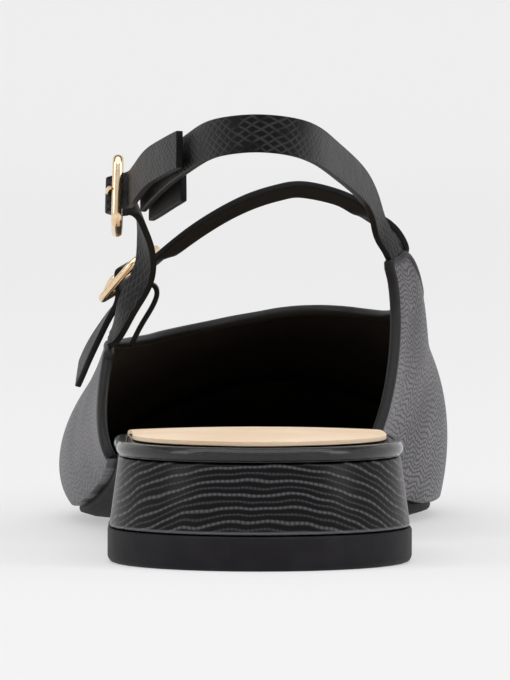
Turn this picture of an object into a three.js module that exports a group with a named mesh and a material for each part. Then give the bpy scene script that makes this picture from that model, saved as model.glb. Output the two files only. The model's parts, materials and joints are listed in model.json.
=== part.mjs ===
// A woman's slingback shoe for the left foot, low block heel, two buckled straps.
// Millimetres. +Y runs from the heel to the toe, +X to the inner side of the foot, +Z up from the floor.
import * as THREE from 'three';

// Overall sizes
const shoeLength = 250;
const ballWidth = 84;
const seatWidth = 55.6;
const heelHeight = 21;
const instepHeight = 60;
const slingHeight = 84.5;
const toeSpring = 7;

// Sole, heel and insole
const outsoleThickness = 2.6;
const outsoleInset = 0.5;
const insoleThickness = 2.7;
const sockThickness = 0.9;
const sockMargin = 2.6;
const padRise = 0.7;
const edgeRoll = 1.4;
const edgeBevel = 0.4;
const topLiftHeight = 6.9;
const heelDepth = 48;
const heelFlare = 2.2;
const liftBevel = 0.8;

// Upper, straps and buckles
const upperWall = 1.8;
const capThickness = 1.1;
const strapWidth = 7.4;
const instepStrapWidth = 6.8;
const strapThickness = 1.4;
const tabThickness = 1.1;
const buckleAlong = 13.4;
const buckleAcross = 15.2;
const buckleBar = 2.1;
const buckleThickness = 1.6;
const pinDiameter = 1.2;
const rootLength = 16;

// Gap between pieces that touch
const gap = 0.3;

const halfBall = ballWidth / 2;
const halfSeat = seatWidth / 2;

// Half widths of the insole's edge, as shares of half the ball width. The seat's rows follow half the seat width.
const outline = [
  { along: 0.0, medial: 1.0, lateral: 1.0, follows: 'seat' },
  { along: 0.112, medial: 1.0, lateral: 1.0, follows: 'seat' },
  { along: 0.192, medial: 0.965, lateral: 1.005, follows: 'seat' },
  { along: 0.26, medial: 0.575, lateral: 0.69, follows: 'ball' },
  { along: 0.328, medial: 0.488, lateral: 0.705, follows: 'ball' },
  { along: 0.4, medial: 0.495, lateral: 0.74, follows: 'ball' },
  { along: 0.48, medial: 0.61, lateral: 0.81, follows: 'ball' },
  { along: 0.56, medial: 0.785, lateral: 0.893, follows: 'ball' },
  { along: 0.632, medial: 0.885, lateral: 0.925, follows: 'ball' },
  { along: 0.68, medial: 0.9, lateral: 0.9, follows: 'ball' },
  { along: 0.76, medial: 0.82, lateral: 0.8, follows: 'ball' },
  { along: 0.84, medial: 0.655, lateral: 0.635, follows: 'ball' },
  { along: 0.912, medial: 0.475, lateral: 0.475, follows: 'ball' },
  { along: 0.968, medial: 0.33, lateral: 0.34, follows: 'ball' },
  { along: 1.0, medial: 0.24, lateral: 0.26, follows: 'ball' },
];
const heelRound = 0.112;
const toeRound = 0.056;
const toeShift = 0.06;
const toeWidth = halfBall * 0.24;

// Height of the insole's underside: shares of the arch's rise to the heel and of the toe spring
const profile = [
  { along: 0.0, arch: 1.0, spring: 0 },
  { along: 0.2, arch: 1.0, spring: 0 },
  { along: 0.26, arch: 0.93, spring: 0 },
  { along: 0.32, arch: 0.77, spring: 0 },
  { along: 0.4, arch: 0.5, spring: 0 },
  { along: 0.48, arch: 0.24, spring: 0 },
  { along: 0.54, arch: 0.08, spring: 0 },
  { along: 0.59, arch: 0, spring: 0 },
  { along: 0.672, arch: 0, spring: 0 },
  { along: 0.76, arch: 0, spring: 0.1 },
  { along: 0.84, arch: 0, spring: 0.33 },
  { along: 0.92, arch: 0, spring: 0.68 },
  { along: 1.0, arch: 0, spring: 1.1 },
];

// Sections of the upper, one for each place around it: -1 is the back end of the outer side, 0 the toe's tip and
// 1 the back end of the inner side. Each runs up from the insole's edge to a point on the top edge, across, along
// and up. It leaves the insole outwards by flare and upwards by rise, and reaches the top edge from bulge outside
// it and drop below it, pulled towards the insole's edge by pull. Widths are shares of half the ball width,
// heights are shares of the instep's height.
const sections = [
  { around: -1, across: -0.715, along: 0.414, up: 0.63, flare: 0.06, rise: 0.07, bulge: 0.04, drop: 0.13, pull: 0.1 },
  { around: -0.9, across: -0.715, along: 0.447, up: 0.657, flare: 0.09, rise: 0.08, bulge: 0.082, drop: 0.16, pull: 0.12 },
  { around: -0.8, across: -0.685, along: 0.478, up: 0.652, flare: 0.11, rise: 0.1, bulge: 0.165, drop: 0.18, pull: 0.2 },
  { around: -0.7, across: -0.63, along: 0.51, up: 0.645, flare: 0.12, rise: 0.1, bulge: 0.226, drop: 0.19, pull: 0.3 },
  { around: -0.6, across: -0.555, along: 0.542, up: 0.645, flare: 0.115, rise: 0.1, bulge: 0.276, drop: 0.2, pull: 0.38 },
  { around: -0.5, across: -0.46, along: 0.573, up: 0.655, flare: 0.11, rise: 0.11, bulge: 0.276, drop: 0.2, pull: 0.43 },
  { around: -0.4, across: -0.35, along: 0.599, up: 0.667, flare: 0.1, rise: 0.12, bulge: 0.233, drop: 0.2, pull: 0.47 },
  { around: -0.3, across: -0.235, along: 0.618, up: 0.68, flare: 0.08, rise: 0.13, bulge: 0.165, drop: 0.2, pull: 0.5 },
  { around: -0.2, across: -0.115, along: 0.631, up: 0.695, flare: 0.072, rise: 0.135, bulge: 0.09, drop: 0.2, pull: 0.52 },
  { around: -0.1, across: 0.005, along: 0.639, up: 0.708, flare: 0.063, rise: 0.135, bulge: 0.035, drop: 0.2, pull: 0.54 },
  { around: 0, across: 0.12, along: 0.642, up: 0.722, flare: 0.065, rise: 0.135, bulge: 0, drop: 0.2, pull: 0.55 },
  { around: 0.1, across: 0.23, along: 0.64, up: 0.73, flare: 0.065, rise: 0.135, bulge: 0.04, drop: 0.2, pull: 0.54 },
  { around: 0.2, across: 0.34, along: 0.633, up: 0.733, flare: 0.058, rise: 0.14, bulge: 0.1, drop: 0.2, pull: 0.52 },
  { around: 0.3, across: 0.445, along: 0.622, up: 0.731, flare: 0.05, rise: 0.15, bulge: 0.17, drop: 0.19, pull: 0.48 },
  { around: 0.4, across: 0.53, along: 0.606, up: 0.727, flare: 0.052, rise: 0.17, bulge: 0.215, drop: 0.18, pull: 0.43 },
  { around: 0.5, across: 0.61, along: 0.584, up: 0.725, flare: 0.059, rise: 0.19, bulge: 0.225, drop: 0.17, pull: 0.37 },
  { around: 0.6, across: 0.682, along: 0.557, up: 0.738, flare: 0.073, rise: 0.2, bulge: 0.215, drop: 0.17, pull: 0.28 },
  { around: 0.7, across: 0.74, along: 0.526, up: 0.767, flare: 0.098, rise: 0.2, bulge: 0.16, drop: 0.19, pull: 0.16 },
  { around: 0.8, across: 0.778, along: 0.493, up: 0.83, flare: 0.137, rise: 0.2, bulge: 0.095, drop: 0.22, pull: 0.04 },
  { around: 0.88, across: 0.755, along: 0.46, up: 0.905, flare: 0.152, rise: 0.18, bulge: 0.059, drop: 0.24, pull: -0.06 },
  { around: 0.94, across: 0.695, along: 0.434, up: 0.975, flare: 0.146, rise: 0.16, bulge: 0.04, drop: 0.24, pull: -0.16 },
  { around: 1, across: 0.618, along: 0.4, up: 0.935, flare: 0.135, rise: 0.13, bulge: 0.045, drop: 0.2, pull: -0.25 },
];
const upperBack = { medial: 0.328, lateral: 0.312 };
const toeCrowding = 0.25;

// How far up each section the toe cap reaches
const capEdge = [
  { around: -0.66, reach: 0.01 },
  { around: -0.56, reach: 0.2 },
  { around: -0.44, reach: 0.34 },
  { around: -0.3, reach: 0.44 },
  { around: -0.15, reach: 0.5 },
  { around: 0, reach: 0.52 },
  { around: 0.15, reach: 0.5 },
  { around: 0.3, reach: 0.46 },
  { around: 0.44, reach: 0.38 },
  { around: 0.56, reach: 0.28 },
  { around: 0.65, reach: 0.15 },
  { around: 0.73, reach: 0.01 },
];

// Strap paths along the middle of the strap, from root to tip, with the side that it faces. Across is a share of
// half the ball width, along of the length, and up of the height that the strap follows.
const slingPath = [
  { across: 0.6, along: 0.402, up: 0.752, weave: 0, outX: 1, outY: -0.3, outZ: 0.1 },
  { across: 0.567, along: 0.384, up: 0.808, weave: 0, outX: 1, outY: -0.3, outZ: 0.12 },
  { across: 0.527, along: 0.352, up: 0.85, weave: 0, outX: 1, outY: -0.2, outZ: 0.1 },
  { across: 0.463, along: 0.29, up: 0.887, weave: 0, outX: 1, outY: -0.2, outZ: 0.08 },
  { across: 0.365, along: 0.19, up: 0.93, weave: 0, outX: 1, outY: -0.25, outZ: 0.05 },
  { across: 0.27, along: 0.09, up: 0.968, weave: 0, outX: 1, outY: -0.6, outZ: 0.02 },
  { across: 0.165, along: 0.04, up: 0.99, weave: 0, outX: 0.5, outY: -1, outZ: 0 },
  { across: 0.02, along: 0.025, up: 1.0, weave: 0, outX: 0, outY: -1, outZ: 0 },
  { across: -0.115, along: 0.034, up: 0.997, weave: 0, outX: -0.5, outY: -1, outZ: 0 },
  { across: -0.235, along: 0.068, up: 0.983, weave: 0, outX: -1, outY: -0.6, outZ: 0.02 },
  { across: -0.335, along: 0.128, up: 0.95, weave: 0, outX: -1, outY: -0.3, outZ: 0.04 },
  { across: -0.435, along: 0.208, up: 0.91, weave: 0, outX: -1, outY: -0.25, outZ: 0.05 },
  { across: -0.52, along: 0.286, up: 0.866, weave: 0, outX: -1, outY: -0.2, outZ: 0.05 },
  { across: -0.56, along: 0.325, up: 0.842, weave: 0, outX: -1, outY: -0.15, outZ: 0.05 },
];
const foldPath = [
  { across: -0.52, along: 0.335, up: 0.82, weave: 0, outX: -1, outY: -0.15, outZ: 0.05 },
  { across: -0.475, along: 0.3, up: 0.835, weave: 0, outX: -1, outY: -0.25, outZ: 0.05 },
  { across: -0.42, along: 0.262, up: 0.855, weave: 0, outX: -1, outY: -0.3, outZ: 0.05 },
  { across: -0.36, along: 0.225, up: 0.875, weave: 0, outX: -1, outY: -0.35, outZ: 0.05 },
];
const riserPath = [
  { across: -0.7, along: 0.43, up: 0.495, weave: 0, outX: -1, outY: -0.3, outZ: 0.2 },
  { across: -0.65, along: 0.417, up: 0.56, weave: 0, outX: -0.92, outY: -0.42, outZ: 0.1 },
  { across: -0.565, along: 0.406, up: 0.64, weave: 0, outX: -0.9, outY: -0.5, outZ: 0.05 },
  { across: -0.552, along: 0.395, up: 0.71, weave: 0, outX: -0.92, outY: -0.45, outZ: 0.05 },
  { across: -0.6, along: 0.381, up: 0.768, weave: -0.6, outX: -0.97, outY: -0.3, outZ: 0.1 },
  { across: -0.68, along: 0.3675, up: 0.82, weave: -1, outX: -1, outY: -0.1, outZ: 0.05 },
  { across: -0.688, along: 0.347, up: 0.838, weave: 1, outX: -1, outY: -0.1, outZ: 0.05 },
  { across: -0.678, along: 0.3265, up: 0.854, weave: -1, outX: -1, outY: -0.12, outZ: 0.05 },
  { across: -0.61, along: 0.285, up: 0.87, weave: -0.3, outX: -1, outY: -0.2, outZ: 0.05 },
  { across: -0.53, along: 0.225, up: 0.912, weave: 0, outX: -1, outY: -0.25, outZ: 0.05 },
  { across: -0.44, along: 0.155, up: 0.942, weave: 0, outX: -1, outY: -0.3, outZ: 0.05 },
  { across: -0.375, along: 0.114, up: 0.96, weave: 0, outX: -1, outY: -0.3, outZ: 0.05 },
];
const instepPath = [
  { across: 0.7, along: 0.457, up: 1.025, weave: 0, outX: 0.9, outY: 0.2, outZ: 0.5 },
  { across: 0.595, along: 0.451, up: 1.085, weave: 0, outX: 0.7, outY: 0.42, outZ: 0.8 },
  { across: 0.52, along: 0.439, up: 1.117, weave: 0, outX: 0.5, outY: 0.42, outZ: 0.9 },
  { across: 0.41, along: 0.431, up: 1.163, weave: 0, outX: 0.35, outY: 0.42, outZ: 1 },
  { across: 0.219, along: 0.424, up: 1.195, weave: 0, outX: 0.05, outY: 0.42, outZ: 1 },
  { across: 0.095, along: 0.422, up: 1.183, weave: 0, outX: -0.12, outY: 0.42, outZ: 1 },
  { across: -0.045, along: 0.422, up: 1.152, weave: 0, outX: -0.25, outY: 0.42, outZ: 1 },
  { across: -0.188, along: 0.424, up: 1.102, weave: 0, outX: -0.38, outY: 0.4, outZ: 1 },
  { across: -0.329, along: 0.43, up: 1.038, weave: 0, outX: -0.48, outY: 0.38, outZ: 0.95 },
  { across: -0.471, along: 0.44, up: 0.965, weave: -0.1, outX: -0.55, outY: 0.3, outZ: 0.85 },
  { across: -0.515, along: 0.452, up: 0.968, weave: -0.6, outX: -0.7, outY: 0.22, outZ: 0.75 },
  { across: -0.577, along: 0.4625, up: 0.946, weave: -1, outX: -0.78, outY: 0.18, outZ: 0.65 },
  { across: -0.642, along: 0.47, up: 0.896, weave: 1, outX: -0.78, outY: 0.18, outZ: 0.65 },
  { across: -0.708, along: 0.477, up: 0.84, weave: -1, outX: -0.8, outY: 0.18, outZ: 0.6 },
  { across: -0.76, along: 0.487, up: 0.75, weave: -0.4, outX: -0.9, outY: 0, outZ: 0.4 },
  { across: -0.82, along: 0.503, up: 0.65, weave: 0, outX: -0.95, outY: -0.16, outZ: 0.35 },
  { across: -0.865, along: 0.525, up: 0.587, weave: 0, outX: -0.95, outY: -0.24, outZ: 0.3 },
  { across: -0.9, along: 0.545, up: 0.532, weave: 0, outX: -0.95, outY: -0.24, outZ: 0.3 },
];
const tabPath = [
  { across: -0.67, along: 0.47, up: 0.735, weave: 0, outX: -1, outY: 0, outZ: 0.3 },
  { across: -0.65, along: 0.47, up: 0.785, weave: 0, outX: -1, outY: 0, outZ: 0.3 },
  { across: -0.617, along: 0.47, up: 0.828, weave: 0, outX: -0.6, outY: 0, outZ: 0.8 },
  { across: -0.57, along: 0.47, up: 0.85, weave: 0, outX: 0, outY: 0, outZ: 1 },
  { across: -0.522, along: 0.47, up: 0.858, weave: 0, outX: 0.8, outY: 0, outZ: 0.7 },
  { across: -0.503, along: 0.47, up: 0.83, weave: 0, outX: 1, outY: 0, outZ: 0.1 },
  { across: -0.525, along: 0.47, up: 0.785, weave: 0, outX: 1, outY: 0, outZ: -0.5 },
  { across: -0.585, along: 0.47, up: 0.715, weave: 0, outX: 1, outY: 0, outZ: -0.6 },
  { across: -0.635, along: 0.47, up: 0.645, weave: 0, outX: 1, outY: 0, outZ: -0.3 },
];

const black = { leather: 0x141214, lining: 0x1a1614, lift: 0x17141a };
const finish = {
  embossed: new THREE.MeshStandardMaterial({ color: 0x2a282c, roughness: 0.38, metalness: 0 }),
  smooth: new THREE.MeshStandardMaterial({ color: black.leather, roughness: 0.22, metalness: 0 }),
  cover: new THREE.MeshStandardMaterial({ color: black.leather, roughness: 0.25, metalness: 0 }),
  lift: new THREE.MeshStandardMaterial({ color: black.lift, roughness: 0.55, metalness: 0 }),
  sole: new THREE.MeshStandardMaterial({ color: black.lift, roughness: 0.5, metalness: 0 }),
  sock: new THREE.MeshStandardMaterial({ color: 0xe6c6a0, roughness: 0.6, metalness: 0 }),
  lining: new THREE.MeshStandardMaterial({ color: black.lining, roughness: 0.5, metalness: 0 }),
  gold: new THREE.MeshStandardMaterial({ color: 0xd9b98a, roughness: 0.2, metalness: 1 }),
};

const shoe = new THREE.Group();

function add(name, geometry, material) {
  const mesh = new THREE.Mesh(geometry, material);
  mesh.name = name;
  shoe.add(mesh);
  return mesh;
}

// Reads a column of a table at any place, on a smooth curve through its rows that never overshoots them.
function read(table, key, at, column) {
  const last = table.length - 1;
  let i = 0;
  while (i < last - 1 && at > table[i + 1][key]) i += 1;
  const slope = (k) => (table[k + 1][column] - table[k][column]) / (table[k + 1][key] - table[k][key]);
  const tangent = (k) => {
    if (k === 0) return slope(0);
    if (k === last) return slope(last - 1);
    const before = slope(k - 1);
    const after = slope(k);
    return before * after <= 0 ? 0 : (2 * before * after) / (before + after);
  };
  const span = table[i + 1][key] - table[i][key];
  const t = THREE.MathUtils.clamp((at - table[i][key]) / span, 0, 1);
  const a = table[i][column];
  const b = table[i + 1][column];
  const rise = t * t * (3 - 2 * t);
  return a + (b - a) * rise + span * t * (1 - t) * ((1 - t) * tangent(i) - t * tangent(i + 1));
}

const outlineSized = outline.map((row) => {
  const half = row.follows === 'seat' ? halfSeat : halfBall;
  return { along: row.along, medial: row.medial * half, lateral: row.lateral * half };
});

// The edge of the insole at a distance from the heel's back: side 1 is the inner side and -1 the outer side.
function edgeAcross(side, y) {
  const along = THREE.MathUtils.clamp((y - heelFlare) / (shoeLength - heelFlare), 0, 1);
  const half = read(outlineSized, 'along', along, side > 0 ? 'medial' : 'lateral');
  const back = Math.max(0, 1 - along / heelRound);
  const front = Math.max(0, 1 - (1 - along) / toeRound);
  const round = Math.sqrt(Math.max(0, 1 - back * back)) * Math.sqrt(Math.max(0, 1 - front * front));
  const shift = toeShift * halfBall * THREE.MathUtils.smoothstep(along, 0.6, 1);
  return shift + side * half * round;
}

// Height of the insole's underside. It is flat across the middle and rolls up towards its edges.
function bottomHeight(y, share) {
  const along = y / shoeLength;
  const arch = read(profile, 'along', along, 'arch');
  const spring = read(profile, 'along', along, 'spring');
  const roll = edgeRoll * THREE.MathUtils.smoothstep(along, 0.22, 0.4);
  const edge = Math.max(0, 2 * Math.abs(share) - 1);
  return outsoleThickness + (heelHeight - outsoleThickness) * arch + toeSpring * spring + roll * edge * edge;
}

// A closed solid between two grids of points of the same size, the front skin and the back skin.
function slab(front, back) {
  const rows = front.length;
  const columns = front[0].length;
  const points = [];
  const known = new Map();
  const vertex = (p) => {
    const key = [p.x, p.y, p.z].map((v) => Math.round(v * 1e4)).join();
    if (!known.has(key)) {
      known.set(key, points.length);
      points.push(p);
    }
    return known.get(key);
  };
  const faces = [];
  const triangle = (a, b, c) => {
    if (a !== b && b !== c && c !== a) faces.push([a, b, c]);
  };
  const quad = (a, b, c, d) => {
    const [i, j, k, l] = [vertex(a), vertex(b), vertex(c), vertex(d)];
    triangle(i, j, k);
    triangle(i, k, l);
  };
  for (let r = 0; r < rows - 1; r += 1) {
    for (let c = 0; c < columns - 1; c += 1) {
      quad(front[r][c], front[r][c + 1], front[r + 1][c + 1], front[r + 1][c]);
      quad(back[r + 1][c], back[r + 1][c + 1], back[r][c + 1], back[r][c]);
    }
    const end = columns - 1;
    quad(front[r + 1][0], back[r + 1][0], back[r][0], front[r][0]);
    quad(front[r][end], back[r][end], back[r + 1][end], front[r + 1][end]);
  }
  for (let c = 0; c < columns - 1; c += 1) {
    const end = rows - 1;
    quad(front[0][c], back[0][c], back[0][c + 1], front[0][c + 1]);
    quad(front[end][c + 1], back[end][c + 1], back[end][c], front[end][c]);
  }
  let volume = 0;
  for (const [a, b, c] of faces) {
    volume += points[a].dot(new THREE.Vector3().crossVectors(points[b], points[c]));
  }
  const order = volume > 0 ? [0, 1, 2] : [0, 2, 1];
  const geometry = new THREE.BufferGeometry();
  geometry.setAttribute('position', new THREE.Float32BufferAttribute(points.flatMap((p) => [p.x, p.y, p.z]), 3));
  geometry.setIndex(faces.flatMap((face) => order.map((k) => face[k])));
  geometry.computeVertexNormals();
  return geometry;
}

// Distances from the back to the front of a plate, closer together at a round end.
function stations(from, to, count, roundBack, roundFront) {
  const list = [];
  for (let i = 0; i <= count; i += 1) {
    const t = i / count;
    const eased = (1 - Math.cos(Math.PI * t)) / 2;
    const back = roundBack ? eased : t;
    const front = roundFront ? eased : t;
    list.push(from + (to - from) * (back * (1 - t) + front * t));
  }
  return list;
}

// A plate of the sole's kind, from one distance to another: its edge lies inside the insole's by inset(y), and
// bottom and top give its heights at a distance and at a share of the half width.
function plate({ from, to, count, lanes, roundBack, roundFront, inset, bottom, top }) {
  const under = [];
  const over = [];
  for (const y of stations(from, to, count, roundBack, roundFront)) {
    const margin = inset(y);
    const back = roundBack ? (from - heelFlare) * (1 - THREE.MathUtils.smoothstep(y, from, heelDepth)) : 0;
    const front = (shoeLength - to) * THREE.MathUtils.smoothstep(y, shoeLength * 0.7, to);
    const lateral = edgeAcross(-1, y - back + front);
    const medial = edgeAcross(1, y - back + front);
    const middle = (lateral + medial) / 2;
    const full = (medial - lateral) / 2;
    const half = full * (1 - margin / Math.max(full, toeWidth));
    const low = [];
    const high = [];
    for (let i = 0; i <= lanes; i += 1) {
      const share = -Math.cos((Math.PI * i) / lanes);
      const nearEdge = 1 - (half * (1 - Math.abs(share))) / Math.max(half, toeWidth);
      low.push(new THREE.Vector3(middle + half * share, y, bottom(y, nearEdge)));
      high.push(new THREE.Vector3(middle + half * share, y, top(y, nearEdge)));
    }
    under.push(low);
    over.push(high);
  }
  return slab(over, under);
}

// A solid of flat outlines stacked upwards, each a ring of the same number of points around a middle.
function stack(rings) {
  const points = rings.flat();
  const count = rings[0].length;
  const faces = [];
  for (let r = 0; r < rings.length - 1; r += 1) {
    for (let i = 0; i < count; i += 1) {
      const next = (i + 1) % count;
      const [a, b] = [r * count + i, r * count + next];
      faces.push(a, b, b + count, a, b + count, a + count);
    }
  }
  const middleOf = (ring) => ring.reduce((sum, p) => sum.add(p), new THREE.Vector3()).divideScalar(count);
  const base = points.length;
  points.push(middleOf(rings[0]), middleOf(rings.at(-1)));
  const top = (rings.length - 1) * count;
  for (let i = 0; i < count; i += 1) {
    const next = (i + 1) % count;
    faces.push(base, next, i);
    faces.push(base + 1, top + i, top + next);
  }
  const geometry = new THREE.BufferGeometry();
  geometry.setAttribute('position', new THREE.Float32BufferAttribute(points.flatMap((p) => [p.x, p.y, p.z]), 3));
  geometry.setIndex(faces);
  geometry.computeVertexNormals();
  return geometry;
}

// The heel's outline: the seat's round back and a flat front, moved outwards by grow.
function heelRing(grow, z) {
  const side = 16;
  const reach = heelDepth + grow;
  const shareAt = (i) => (1 - Math.cos((Math.PI * i) / side)) / 2;
  const ring = [];
  const scale = (halfSeat + grow) / halfSeat;
  const point = (edge, i) => {
    const share = shareAt(i);
    const across = edgeAcross(edge, heelFlare + heelDepth * share) * scale;
    return new THREE.Vector3(across, heelFlare - grow + reach * share, z);
  };
  for (let i = 1; i <= side; i += 1) ring.push(point(1, i));
  for (let i = side; i >= 0; i -= 1) ring.push(point(-1, i));
  return ring;
}

// A point of the upper's outer face: around from the outer side's back over the toe to the inner side's back, and
// up from the insole's edge to the top edge.
function upperPoint(around, up) {
  const side = around < 0 ? -1 : 1;
  const a = Math.abs(around);
  const share = (a * a * (1 + toeCrowding)) / (a + toeCrowding);
  const rear = side > 0 ? upperBack.medial : upperBack.lateral;
  const y = shoeLength * (1 - (1 - rear) * share);
  const foot = new THREE.Vector3(edgeAcross(side, y), y, bottomHeight(y, 1) + gap);
  const column = (name) => read(sections, 'around', around, name);
  const edge = new THREE.Vector3(
    column('across') * halfBall,
    column('along') * shoeLength,
    column('up') * instepHeight,
  );
  const step = shoeLength * 0.004;
  const before = Math.max(shoeLength * 0.3, y - step);
  const after = Math.min(shoeLength, y + step);
  const slope = (edgeAcross(side, after) - edgeAcross(side, before)) / (after - before);
  const outward = new THREE.Vector3(side, -side * slope, 0).normalize();
  if (a < 1e-6) outward.set(0, 1, 0);
  const low = foot.clone().addScaledVector(outward, column('flare') * halfBall);
  low.z += column('rise') * instepHeight;
  const pull = column('pull');
  const high = edge.clone().addScaledVector(outward, column('bulge') * halfBall);
  high.x += pull * (foot.x - edge.x);
  high.y += pull * (foot.y - edge.y);
  high.z -= column('drop') * instepHeight;
  return new THREE.CubicBezierCurve3(foot, low, high, edge).getPoint(up);
}

function upperNormal(around, up) {
  const d = 0.004;
  const a0 = Math.max(-1, around - d);
  const a1 = Math.min(1, around + d);
  const u0 = Math.max(0, up - d);
  const u1 = Math.min(1, up + d);
  const alongEdge = upperPoint(a1, up).sub(upperPoint(a0, up));
  const upwards = upperPoint(around, u1).sub(upperPoint(around, u0));
  return alongEdge.cross(upwards).normalize();
}

// A layer of the upper between two distances out of its outer face, up to the height that reach gives.
function upperLayer({ from, to, columns, rows, reach, inner, outer }) {
  const front = [];
  const back = [];
  for (let i = 0; i <= columns; i += 1) {
    const around = from + ((to - from) * i) / columns;
    const outerRow = [];
    const innerRow = [];
    for (let j = 0; j <= rows; j += 1) {
      const up = (reach(around) * j) / rows;
      const point = upperPoint(around, up);
      const normal = upperNormal(around, up);
      outerRow.push(point.clone().addScaledVector(normal, outer));
      innerRow.push(point.clone().addScaledVector(normal, inner));
    }
    front.push(outerRow);
    back.push(innerRow);
  }
  return slab(front, back);
}

// The rows of a strap's path as points, from the shares in its table.
function placed(path, height) {
  return path.map((row) => ({
    point: new THREE.Vector3(row.across * halfBall, row.along * shoeLength, row.up * height),
    out: new THREE.Vector3(row.outX, row.outY, row.outZ).normalize(),
    weave: row.weave,
  }));
}

// A row on the outer face of the upper, raised off it by lift.
function onUpper(around, up, lift) {
  const out = upperNormal(around, up);
  return { point: upperPoint(around, up).addScaledVector(out, lift), out, weave: 0 };
}

// The row where a strap grows out of the upper's top edge, between two places around it.
function outOfTopEdge({ from, to }, lift) {
  const middle = onUpper((from + to) / 2, 1, -upperWall / 2);
  const chord = upperPoint(from, 1).add(upperPoint(to, 1)).divideScalar(2);
  middle.point.z += Math.max(0, chord.z - middle.point.z) + lift;
  return middle;
}

// Frames along a strap's path: the point, the way that the strap runs, the side that it faces and its width.
function frameAt(rows, t) {
  const curve = new THREE.CatmullRomCurve3(rows.map((row) => row.point), false, 'catmullrom', 0.5);
  const facing = new THREE.CatmullRomCurve3(rows.map((row) => row.out), false, 'catmullrom', 0.5);
  const weaving = new THREE.CatmullRomCurve3(
    rows.map((row) => new THREE.Vector3(row.weave, 0, 0)),
    false,
    'catmullrom',
    0.5,
  );
  const point = curve.getPoint(t);
  const tangent = curve.getTangent(t);
  const out = facing.getPoint(t);
  out.addScaledVector(tangent, -out.dot(tangent)).normalize();
  const across = new THREE.Vector3().crossVectors(tangent, out);
  return { point, tangent, out, across, weave: weaving.getPoint(t).x };
}

function strapRun(rows) {
  return new THREE.CatmullRomCurve3(rows.map((row) => row.point)).getLength();
}

// The way that the upper's top edge runs between two places around it.
function topEdgeRun({ from, to }) {
  return upperPoint(to, 1).sub(upperPoint(from, 1)).normalize();
}

// A flat strap. Where weave is 1 it passes over a buckle's middle bar, and where it is -1 under an end bar. A root
// that grows out of an edge is cut along that edge.
function strap(rows, count, width, thickness, edge) {
  const clear = buckleThickness / 2 + 1.6 * gap + thickness / 2;
  const rootShare = rootLength / strapRun(rows);
  const cut = edge?.clone().multiplyScalar(Math.sign(edge.dot(frameAt(rows, rootShare).across)));
  const front = [];
  const back = [];
  for (let i = 0; i <= count; i += 1) {
    const { point, tangent, out, across, weave } = frameAt(rows, i / count);
    if (cut) {
      across.lerpVectors(cut, across, THREE.MathUtils.smoothstep(i / count, 0, rootShare)).normalize();
      out.crossVectors(across, tangent).normalize();
    }
    const centre = point.clone().addScaledVector(out, weave * clear);
    const outerRow = [];
    const innerRow = [];
    for (const side of [-0.5, 0, 0.5]) {
      const p = centre.clone().addScaledVector(across, side * width);
      outerRow.push(p.clone().addScaledVector(out, thickness / 2));
      innerRow.push(p.clone().addScaledVector(out, -thickness / 2));
    }
    front.push(outerRow);
    back.push(innerRow);
  }
  return slab(front, back);
}

// The frame of the middle bar of the buckle that a strap is woven through.
function buckleFrame(rows) {
  const index = rows.findIndex((row) => row.weave === 1);
  return frameAt(rows, index / (rows.length - 1));
}

function roundedBox(path, width, height, radius) {
  const [w, h] = [width / 2, height / 2];
  path.moveTo(-w + radius, -h);
  path.lineTo(w - radius, -h);
  path.absarc(w - radius, -h + radius, radius, -Math.PI / 2, 0, false);
  path.lineTo(w, h - radius);
  path.absarc(w - radius, h - radius, radius, 0, Math.PI / 2, false);
  path.lineTo(-w + radius, h);
  path.absarc(-w + radius, h - radius, radius, Math.PI / 2, Math.PI, false);
  path.lineTo(-w, -h + radius);
  path.absarc(-w + radius, -h + radius, radius, Math.PI, Math.PI * 1.5, false);
  return path;
}

// A buckle's frame with two windows either side of its middle bar, lying in the strap's plane.
function buckle() {
  const shape = roundedBox(new THREE.Shape(), buckleAlong, buckleAcross, buckleBar);
  const window = {
    along: (buckleAlong - 2 * buckleBar - pinDiameter) / 2,
    across: buckleAcross - 2 * buckleBar,
  };
  for (const side of [-1, 1]) {
    const hole = roundedBox(new THREE.Path(), window.along, window.across, window.along * 0.2);
    const shift = (side * (window.along + pinDiameter)) / 2;
    const points = hole.getPoints(1).map((p) => new THREE.Vector2(p.x + shift, p.y));
    shape.holes.push(new THREE.Path(points));
  }
  const bevel = buckleThickness * 0.2;
  const geometry = new THREE.ExtrudeGeometry(shape, {
    depth: buckleThickness - 2 * bevel,
    bevelEnabled: true,
    bevelThickness: bevel,
    bevelSize: bevel,
    bevelOffset: -bevel,
    bevelSegments: 1,
    curveSegments: 2,
  });
  geometry.translate(0, 0, -(buckleThickness - 2 * bevel) / 2);
  return geometry;
}

// Turns a piece made flat, with X along the strap and Z out of it, into a frame's place.
function seat(geometry, { point, tangent, out, across }) {
  const basis = new THREE.Matrix4().makeBasis(tangent, across.clone().negate(), out);
  return geometry.applyMatrix4(basis.setPosition(point));
}

// The buckle's pin, from the strap's hole over the end bar beside the strap's tip.
function pin() {
  const reach = buckleAlong / 2 - buckleBar * 0.4;
  const root = pinDiameter * 1.9;
  const geometry = new THREE.CylinderGeometry(pinDiameter / 2, pinDiameter / 2, reach - root + buckleBar * 0.5, 10);
  geometry.rotateZ(Math.PI / 2);
  const height = buckleThickness / 2 + gap + pinDiameter / 2;
  geometry.translate((reach + root) / 2 + buckleBar * 0.25, 0, height);
  return geometry;
}

const seatTop = heelHeight - gap;
const breast = heelDepth + heelFlare;
const upperStart = shoeLength * Math.min(upperBack.medial, upperBack.lateral);
const insoleInset = (y) => {
  const inside = THREE.MathUtils.smoothstep(y, upperStart - 14, upperStart - 2);
  return inside * (upperWall + 2 * gap);
};
const insoleTop = (y, share) => bottomHeight(y, share) + insoleThickness;

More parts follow.
